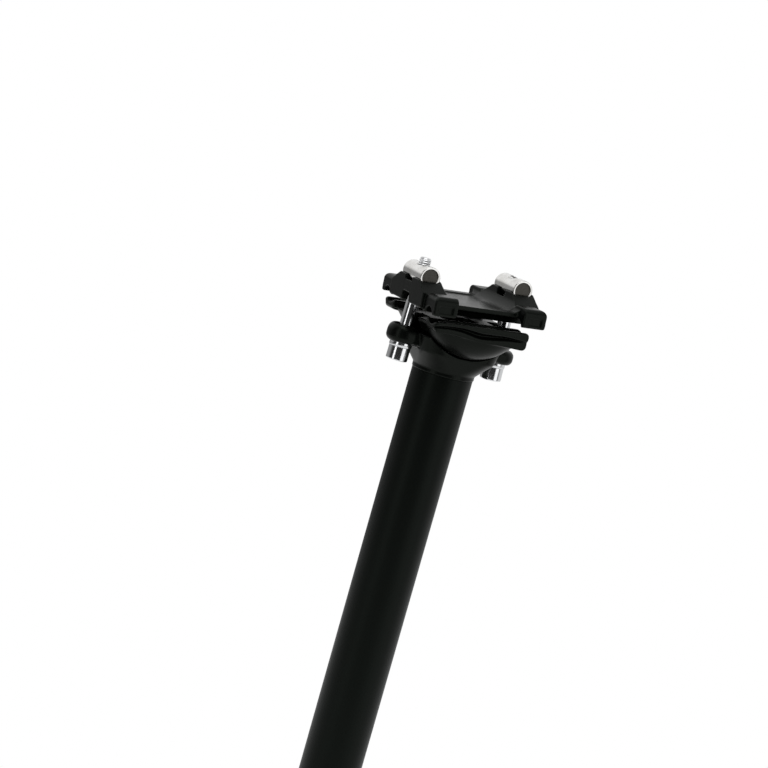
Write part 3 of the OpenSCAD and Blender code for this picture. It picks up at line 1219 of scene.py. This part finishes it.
@dataclass
class ClampBolt(Fastener):
    """A chrome socket-head bolt with a rolled thread.

    The socket's floor and flare are shares of its hexagon. Its mouth is a ring, given by its
    distance from the flats and its height. The thread runs in and out over a number of pitches.
    """

    head_d: float = 9.5 * MM
    head_h: float = 6.0 * MM
    foot_r: float = 0.55 * MM
    rim_r: float = 0.18 * MM
    fillet_r: float = 0.25 * MM
    shank_l: float = 22.0 * MM
    shank_d: float = 6.0 * MM
    taper_l: float = 0.6 * MM
    taper_r: float = 0.15 * MM
    socket_af: float = 5.0 * MM
    socket_depth: float = 3.0 * MM
    socket_floor: Span = (0.55, 0.97)
    floor_break: float = 0.1 * MM
    flare: float = 1.06
    flare_from: float = 0.45 * MM
    flare_to: float = 0.30 * MM
    mouth: Span = (0.55 * MM, 0.12 * MM)
    land: float = 0.75 * MM
    pitch: float = 1.0 * MM
    crest_r: float = 2.62 * MM
    root_r: float = 2.32 * MM
    rows_a_pitch: int = 10
    run_in: float = 1.2
    run_out: float = 0.9
    plain_tip: float = 0.2 * MM
    root_flat: float = 0.08
    flank_share: float = 0.80
    tip_l: float = 0.5 * MM
    tip_drop: float = 0.35 * MM
    tip_slope: float = 0.7
    socket_mark: float = 0.6 * MM
    # How much painted shade the socket gets.
    socket_shade: float = 0.8
    segments: int = 72
    round_steps: int = 6
    hard_angle: float = 38.0

    def _ends(self) -> Span:
        """Measures the bolt's node.

        Returns:
            The heights of the head's foot and of the bolt's tip on the turning axis.
        """
        back = np.array(self._place().inverted())
        heights = coordinates(frame["nodes"][self.node].data) @ back[2, :3] + back[2, 3]
        return float(heights.min()), float(heights.max())

    def _body(self) -> bpy.types.Mesh:
        """Makes one closed skin from the socket's floor round the head and up the thread.

        Returns:
            The mesh.
        """
        low, high = self._ends()
        head_r, shank_r = self.head_d / 2, self.shank_d / 2
        under = low + self.head_h
        thread_z = under + self.shank_l + self.taper_l
        outline: Profile = [
            (self.socket_af / 2 + self.land, low),
            (head_r, low),
            (head_r, under),
            (shank_r, under),
            (shank_r, under + self.shank_l),
            (self.root_r, thread_z),
        ]
        radii = [0.0, self.foot_r, self.rim_r, self.fillet_r, self.taper_r, 0.0]
        profile = rounded(outline, radii, self.round_steps)[:-1]
        head = [ring(radius, height, self.segments) for radius, height in profile]
        rows = self._socket(low) + head + self._thread(thread_z, high)
        mesh = loft(self.name, rows, closed=False)
        # valley marks where painted shade goes: the thread roots and the socket.
        places = coordinates(mesh)
        reach = np.hypot(places[:, 0], places[:, 1])
        threaded = places[:, 2] > under + self.shank_l
        sunk = (self.crest_r - reach) / (self.crest_r - self.root_r)
        socket = (reach < self.socket_af / 2 + self.socket_mark) & (places[:, 2] < under)
        recess_shade = np.where(threaded, sunk, 0.0) + self.socket_shade * socket
        store(mesh, "valley", np.clip(recess_shade, 0.0, 1.0))
        shade(mesh, self.hard_angle)
        return mesh

    def _socket(self, low: float) -> list[list[Point]]:
        """The rows of the hexagon socket, from its floor to its countersunk mouth.

        Args:
            low: the height of the head's foot.

        Returns:
            The rows of points.
        """
        sixth = FULL_TURN / 6
        levels = [(share, self.socket_depth) for share in self.socket_floor]
        levels += [(1.0, self.socket_depth - self.floor_break), (1.0, self.flare_from)]
        levels += [(self.flare, self.flare_to)]
        rows = []
        for share, height in levels:
            row = []
            for step in range(self.segments):
                turn = FULL_TURN * step / self.segments
                off = (turn + sixth / 2) % sixth - sixth / 2
                reach = share * self.socket_af / 2 / math.cos(off)
                row.append((reach * math.cos(turn), reach * math.sin(turn), low + height))
            rows.append(row)
        wide, rise = self.mouth
        rows.append(ring(self.socket_af / 2 + wide, low + rise, self.segments))
        return rows

    def _thread(self, start: float, end: float) -> list[list[Point]]:
        """The rows of the thread, whose ridge climbs one pitch a turn.

        Args:
            start: the height where the thread begins.
            end: the height of the bolt's tip.

        Returns:
            The rows of points.
        """
        rows = []
        levels = max(2, round((end - start) / (self.pitch / self.rows_a_pitch)))
        for level in range(levels + 1):
            height = start + (end - start) * level / levels
            grown = min(1.0, (height - start) / (self.run_in * self.pitch))
            left = (end - self.plain_tip - height) / (self.run_out * self.pitch)
            full = (self.crest_r - self.root_r) * grown * min(1.0, max(0.0, left))
            row = []
            for step in range(self.segments):
                turn = step / self.segments
                phase = (height / self.pitch - turn) % 1.0
                ridge = 1.0 - abs(2.0 * phase - 1.0)
                ridge = min(1.0, max(0.0, (ridge - self.root_flat) / self.flank_share))
                radius = self.root_r + full * ridge
                if end - height < self.tip_l:
                    tip_r = self.root_r - self.tip_drop + (end - height) * self.tip_slope
                    radius = min(radius, tip_r)
                angle = FULL_TURN * turn
                row.append((radius * math.cos(angle), radius * math.sin(angle), height))
            rows.append(row)
        return rows


@dataclass
class SwivelWasher(Fastener):
    """A washer whose upper face is part of a round bar, so that its bolt can lean.

    The rows of its top are shares of the way from the bore to the rim.
    """

    outer_d: float = 10.0 * MM
    bore_r: float = 3.35 * MM
    rim_t: float = 1.6 * MM
    round_r: float = 8.5 * MM
    edge: float = 0.22 * MM
    nib_share: float = 0.3
    top_shares: Span = (0.66, 0.33)
    inset: float = 0.02 * MM
    segments: int = 96
    hard_angle: float = 40.0

    def _rows(self) -> list[Point]:
        """Goes once round the washer's section, from the top of the bore.

        Returns:
            Each row's radius, its share of the washer's height, and its lift above that.
        """
        outer, bore, e = self.outer_d / 2, self.bore_r, self.edge
        nib = self.nib_share * e
        rows = [(bore, 1.0, -e), (bore, 0.5, 0.0), (bore, 0.0, e)]
        rows += [(r, 0.0, 0.0) for r in (bore + e, 0.5 * (bore + outer), outer - e)]
        rows += [(outer - nib, 0.0, nib), (outer, 0.0, e), (outer, 0.5, 0.0)]
        rows += [(outer, 1.0, -e), (outer - nib, 1.0, -nib)]
        between = [share * outer + (1.0 - share) * bore for share in self.top_shares]
        return rows + [(r, 1.0, 0.0) for r in (outer - e, *between, bore + e)]

    def _body(self) -> bpy.types.Mesh:
        """Makes the washer's skin, whose top follows the round bar and whose edges are broken.

        Returns:
            The mesh.
        """
        foot = math.sqrt(self.round_r**2 - (self.outer_d / 2) ** 2) - self.rim_t
        top_r = self.round_r - self.inset
        rows = []
        for radius, share, lift in self._rows():
            row = []
            for x, y, _ in ring(radius, 0.0, self.segments):
                top = math.sqrt(top_r**2 - x * x)
                row.append((x, y, foot + share * (top - foot) + lift))
            rows.append(row)
        mesh = loft(self.name, rows, closed=True)
        store(mesh, "valley", np.zeros(len(mesh.vertices)))
        shade(mesh, self.hard_angle)
        return mesh


@dataclass
class BarrelNut(Fastener):
    """A turned cross nut with dished ends and a tapped hole through its middle.

    The dish's rings are shares of its radius, and the marked depth is a share of its own.
    """

    slot: ClassVar[Slot] = Slot.NUT
    rim: float = 0.40 * MM
    dish: float = 0.32 * MM
    dish_rings: Span = (0.35, 0.72)
    dish_slope: float = 0.25 * MM
    dish_fillet: float = 0.15 * MM
    rim_r: float = 0.1 * MM
    bore_r: float = 2.98 * MM
    countersink: float = 0.35 * MM
    over_cut: float = 1.0 * MM
    flare: float = 0.35
    edge: float = 0.45 * MM
    weld_reach: float = 0.01 * MM
    mark_depth: float = 1.2
    mark_margin: float = 0.05 * MM
    segments: int = 120
    hole_segments: int = 72
    hard_angle: float = 32.0

    def _place(self) -> Matrix:
        """The middle of the nut's node, with the nut's length along Y."""
        low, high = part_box(self.node)
        return Matrix.Translation((low + high) / 2)

    def _body(self) -> bpy.types.Mesh:
        """Makes the nut from a turned bar and cuts its hole along the bolt.

        Returns:
            The mesh.
        """
        low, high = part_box(self.node)
        radius, half_l = (high.x - low.x) / 2, (high.y - low.y) / 2
        bar = revolve(self.name, self._outline(radius, half_l), self.segments)
        bar.transform(Matrix.Rotation(math.pi / 2, 4, "X"))
        tool = revolve(self.name + "_hole", self._hole(radius), self.hole_segments)
        tool.transform(bolt_axis(self.turn).to_3x3().to_4x4())
        mesh = cut(bar, tool)
        weld(mesh, self.weld_reach)
        self._mark(mesh, radius - self.edge - self.rim, half_l)
        shade(mesh, self.hard_angle)
        return mesh

    def _outline(self, radius: float, half_l: float) -> Profile:
        """The nut's outline from the middle of one end face to the other.

        Args:
            radius: the nut's radius.
            half_l: half its length.

        Returns:
            Pairs of radius and height.
        """
        floor = half_l - self.dish
        step = radius - self.edge - self.rim
        half: Profile = [(share * step, floor) for share in (0.0, *self.dish_rings)]
        half += [(step - self.dish_slope, floor), (step, half_l), (radius, half_l), (radius, 0.0)]
        radii = [0.0, 0.0, 0.0, self.dish_fillet, self.rim_r, self.edge, 0.0]
        upper = rounded(half, radii)
        return upper + [(r, -z) for r, z in reversed(upper[:-1])]

    def _hole(self, radius: float) -> Profile:
        """The outline of the tapped hole's tool, wider at both mouths.

        Args:
            radius: the nut's radius.

        Returns:
            Pairs of radius and height.
        """
        mouth = math.sqrt(radius**2 - self.bore_r**2)
        far = radius + self.over_cut
        wide = self.bore_r + self.countersink + (far - mouth) * self.flare
        side: Profile = [(0.0, far), (wide, far), (self.bore_r, mouth - self.countersink)]
        return side + [(r, -z) for r, z in reversed(side)]

    def _mark(self, mesh: bpy.types.Mesh, dish_r: float, half_l: float) -> None:
        """Stores which points lie in the dished ends, and how far from the nut's axis.

        Args:
            mesh: the nut's mesh.
            dish_r: the dish's radius.
            half_l: half the nut's length.
        """
        places = coordinates(mesh)
        reach = np.hypot(places[:, 0], places[:, 2])
        at_end = np.abs(places[:, 1]) > half_l - self.mark_depth * self.dish
        store(mesh, "turned_radius", reach)
        store(mesh, "end_face", (at_end & (reach < dish_r - self.mark_margin)).astype(float))


# Studio


@dataclass(frozen=True)
class Softbox:
    """One soft lamp that faces the clamp.

    It stands some degrees to the viewer's right of the camera and above the clamp's level, at a
    distance in metres. Its size is in metres and its power in watts.
    """

    name: str
    turn: float
    lift: float
    away: float
    size: Span
    power: float


@dataclass
class Studio:
    """A white room with a dim side towards the viewer, a pale floor and soft lamps.

    Angles are in degrees and lengths in metres. The places whose names end in px are pixels of
    the square picture, from its upper left corner. The spans are where the room's brightness
    changes, as a share of a direction, and how far out the floor turns plain white.
    """

    aim: Point = (0.0, 0.0, 321.8 * MM)
    azimuth: float = 152.1
    elevation: float = 7.5
    roll: float = 15.866
    distance: float = 0.85
    focal_px: float = 1953.0
    frame_px: float = 768.0
    aim_px: Span = (442.61, 372.75)
    sensor_mm: float = 36.0
    near_clip: float = 0.01
    floor_rings: tuple[float, ...] = (0.0, 0.05, 0.1, 0.2, 0.3, 0.4, 0.7, 1.0)
    floor_segments: int = 96
    floor_colour: Colour = (0.90, 0.90, 0.895)
    mottle_scale: float = 60.0
    mottle_gain: float = 0.985
    clear_span: Span = (0.09, 0.24)
    left_wall: float = 0.90
    right_wall: float = 1.0
    left_low: float = 0.30
    right_low: float = 0.72
    ceiling: float = 0.65
    dim_side: float = 0.03
    across_span: Span = (-0.55, 0.35)
    facing_span: Span = (-0.25, 0.40)
    wall_span: Span = (0.0, 0.30)
    ceiling_span: Span = (0.35, 0.85)
    lamps: tuple[Softbox, ...] = (
        Softbox("overhead_softbox", 0.0, 68.0, 1.6, (1.5, 1.5), 10.0),
        Softbox("left_strip", -36.0, 6.0, 1.5, (0.42, 1.3), 2.9),
        Softbox("right_softbox", 57.0, 6.0, 1.5, (0.95, 1.2), 4.6),
    )

    def build(self) -> None:
        """Makes the camera, the room, the floor and the lamps."""
        bpy.context.scene.view_settings.view_transform = "Standard"
        self._camera()
        self._room()
        self._floor()
        for lamp in self.lamps:
            self._light(lamp)

    def _heading(self, turn: float, lift: float) -> Vector:
        """A direction from the object.

        Args:
            turn: how far it lies to the viewer's right of the camera, in degrees.
            lift: its height above the level, in degrees.

        Returns:
            The direction.
        """
        a, e = math.radians(self.azimuth + turn), math.radians(lift)
        return Vector((math.sin(a) * math.cos(e), -math.cos(a) * math.cos(e), math.sin(e)))

    def _camera(self) -> None:
        """Makes the camera, turned so that the aim falls on its own place in the frame."""
        back = self._heading(0.0, self.elevation)
        level = Vector((0.0, 0.0, 1.0)).cross(back).normalized()
        upright = back.cross(level)
        r = math.radians(self.roll)
        right = level * math.cos(r) + upright * math.sin(r)
        up = upright * math.cos(r) - level * math.sin(r)
        dx = self.aim_px[0] - self.frame_px / 2
        dy = self.frame_px / 2 - self.aim_px[1]
        turned = (back * self.focal_px + right * dx + up * dy).normalized()
        right = (right - turned * right.dot(turned)).normalized()
        place = Matrix((right, turned.cross(right), turned)).transposed().to_4x4()
        place.translation = Vector(self.aim) + back * self.distance
        data = bpy.data.cameras.new("camera")
        data.sensor_width = self.sensor_mm
        data.lens = self.focal_px / self.frame_px * self.sensor_mm
        data.clip_start = self.near_clip
        camera = bpy.data.objects.new("camera", data)
        camera.matrix_world = place
        bpy.context.scene.collection.objects.link(camera)
        bpy.context.scene.camera = camera
        log.info("camera at %.3f, %.3f, %.3f", *place.translation)

    def _room(self) -> None:
        """Makes the world, dim on the viewer's side.

        It is plain white to the camera, and where a shiny face mirrors the wall behind.
        """
        world = bpy.data.worlds.new("studio_room")
        world.use_nodes = True
        bpy.context.scene.world = world
        g = Graph(world.node_tree)
        way = g.add("ShaderNodeTexCoord", out="Generated")
        height = g.split(way)[2]
        rightness = g.along(way, self._heading(90.0, 0.0)).ramp(*self.across_span)
        behind = 1.0 - g.along(way, self._heading(0.0, 0.0)).ramp(*self.facing_span)
        risen = height.ramp(*self.wall_span)
        high = height.ramp(*self.ceiling_span)
        upper = self.left_wall + rightness * (self.right_wall - self.left_wall)
        lower = self.left_low + rightness * (self.right_low - self.left_low)
        walls = (lower + risen * (upper - lower)) * behind + self.dim_side
        level = walls * (1.0 - high) + high * self.ceiling
        mirrored = g.rays(Ray.GLOSSY) * behind * risen * (1.0 - high)
        seen = g.rays(Ray.CAMERA, Ray.TRANSMISSION).at_least(mirrored)
        strength = seen + (1.0 - seen) * level
        light = g.add("ShaderNodeBackground", {}, {"Color": WHITE, "Strength": strength})
        g.add("ShaderNodeOutputWorld", {}, {"Surface": light})

    def _floor(self) -> None:
        """Makes the floor: pale round the foot, plain white further off, and clear from below."""
        rings: Profile = [(radius, 0.0) for radius in self.floor_rings]
        floor = show("studio_floor", revolve("studio_floor", rings, self.floor_segments))
        if floor.data.polygons[0].normal.z < 0:
            floor.data.flip_normals()
        material, g = new_material("pale_floor")
        x, y, _ = g.split(g.place())
        reach = (x * x + y * y) ** 0.5
        clear = reach.ramp(*self.clear_span) * g.rays(Ray.CAMERA, Ray.GLOSSY, Ray.TRANSMISSION)
        mottle = g.noise(g.place(), self.mottle_scale)
        tone = g.blend(mottle, self.floor_colour, brighter(self.floor_colour, self.mottle_gain))
        matt = {"Base Color": tone, "Roughness": 1.0, "Specular IOR Level": 0.0}
        paper = g.add("ShaderNodeBsdfPrincipled", {}, matt)
        white = g.add("ShaderNodeEmission", {}, {"Color": WHITE, "Strength": 1.0})
        mixed = g.add("ShaderNodeMixShader", {}, {0: clear, 1: paper, 2: white})
        under = g.add("ShaderNodeNewGeometry", out="Backfacing")
        glass = g.add("ShaderNodeBsdfTransparent")
        sided = g.add("ShaderNodeMixShader", {}, {0: under, 1: mixed, 2: glass})
        g.add("ShaderNodeOutputMaterial", {}, {"Surface": sided})
        floor.data.materials.append(material)

    def _light(self, lamp: Softbox) -> None:
        """Sets up one lamp.

        Args:
            lamp: the lamp.
        """
        data = bpy.data.lights.new(lamp.name, "AREA")
        data.shape = "RECTANGLE"
        data.size, data.size_y = lamp.size
        data.energy = lamp.power
        out = self._heading(lamp.turn, lamp.lift)
        faced = out.to_track_quat("Z", "Y").to_matrix().to_4x4()
        light = bpy.data.objects.new(lamp.name, data)
        light.matrix_world = Matrix.Translation(Vector(self.aim) + out * lamp.away) @ faced
        bpy.context.scene.collection.objects.link(light)


# The whole post


@dataclass
class Seatpost:
    """The whole post: tube, head, cradle, clamp and its fasteners."""

    tube: Tube = field(default_factory=Tube)
    # The head's and the cradle's edge colours are worn coat and painted highlight, dimmer than the
    # clamp's.
    head_edge_wear_and_highlight: Colour = (0.0065, 0.0070, 0.0067)
    cradle_edge_wear_and_highlight: Colour = (0.0060, 0.0065, 0.0062)
    washer_rough: float = 0.16

    def build(self) -> list[bpy.types.Object]:
        """Makes every piece, in the order in which a fitter would put them together.

        Returns:
            The pieces.
        """
        pieces = [self.tube.build()]
        pieces += [forging.build() for forging in self._forgings()]
        for end in End:
            pieces += [fastener.build() for fastener in self._fasteners(end)]
        return pieces

    def _forgings(self) -> list[Forging]:
        """Lists the forged pieces.

        Returns:
            The head, the cradle and the clamp.
        """
        head = SatinForging("head_satin_black", self.head_edge_wear_and_highlight)
        cradle = SatinForging("cradle_satin_black", self.cradle_edge_wear_and_highlight)
        clamp = SatinForging("clamp_satin_black")
        return [
            PostHead("post_head", "clamp_head", Slot.HEAD, head),
            RailCradle("lower_cradle", "rail_cradle", Slot.CLAMP, cradle),
            UpperClamp("upper_clamp", "rail_clamp", Slot.CLAMP, clamp),
        ]

    def _fasteners(self, end: End) -> list[Fastener]:
        """Lists the fasteners of one end.

        Args:
            end: the end.

        Returns:
            The washer, the bolt and the nut.
        """
        side = end.value
        turn = f"{side}_bolt_turn"
        washer = PolishedChrome(f"{side}_washer_plate", self.washer_rough)
        bolt = PolishedChrome(f"{side}_bolt_plate")
        nut = TurnedSteel(f"{side}_nut_steel")
        return [
            SwivelWasher(f"{side}_washer", turn, f"{side}_swivel_washer", washer),
            ClampBolt(f"{side}_bolt", turn, f"{side}_clamp_bolt", bolt),
            BarrelNut(f"{side}_barrel_nut", turn, f"{side}_cross_nut", nut),
        ]


def main() -> None:
    """Builds the studio and the post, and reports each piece."""
    logging.basicConfig(level=logging.INFO, format="%(message)s", stream=sys.stdout)
    Studio().build()
    for piece in Seatpost().build():
        faces, finish = len(piece.data.polygons), piece.data.materials[0].name
        log.info("%s: %d faces, %s", piece.name, faces, finish)


if __name__ == "__main__":
    main()
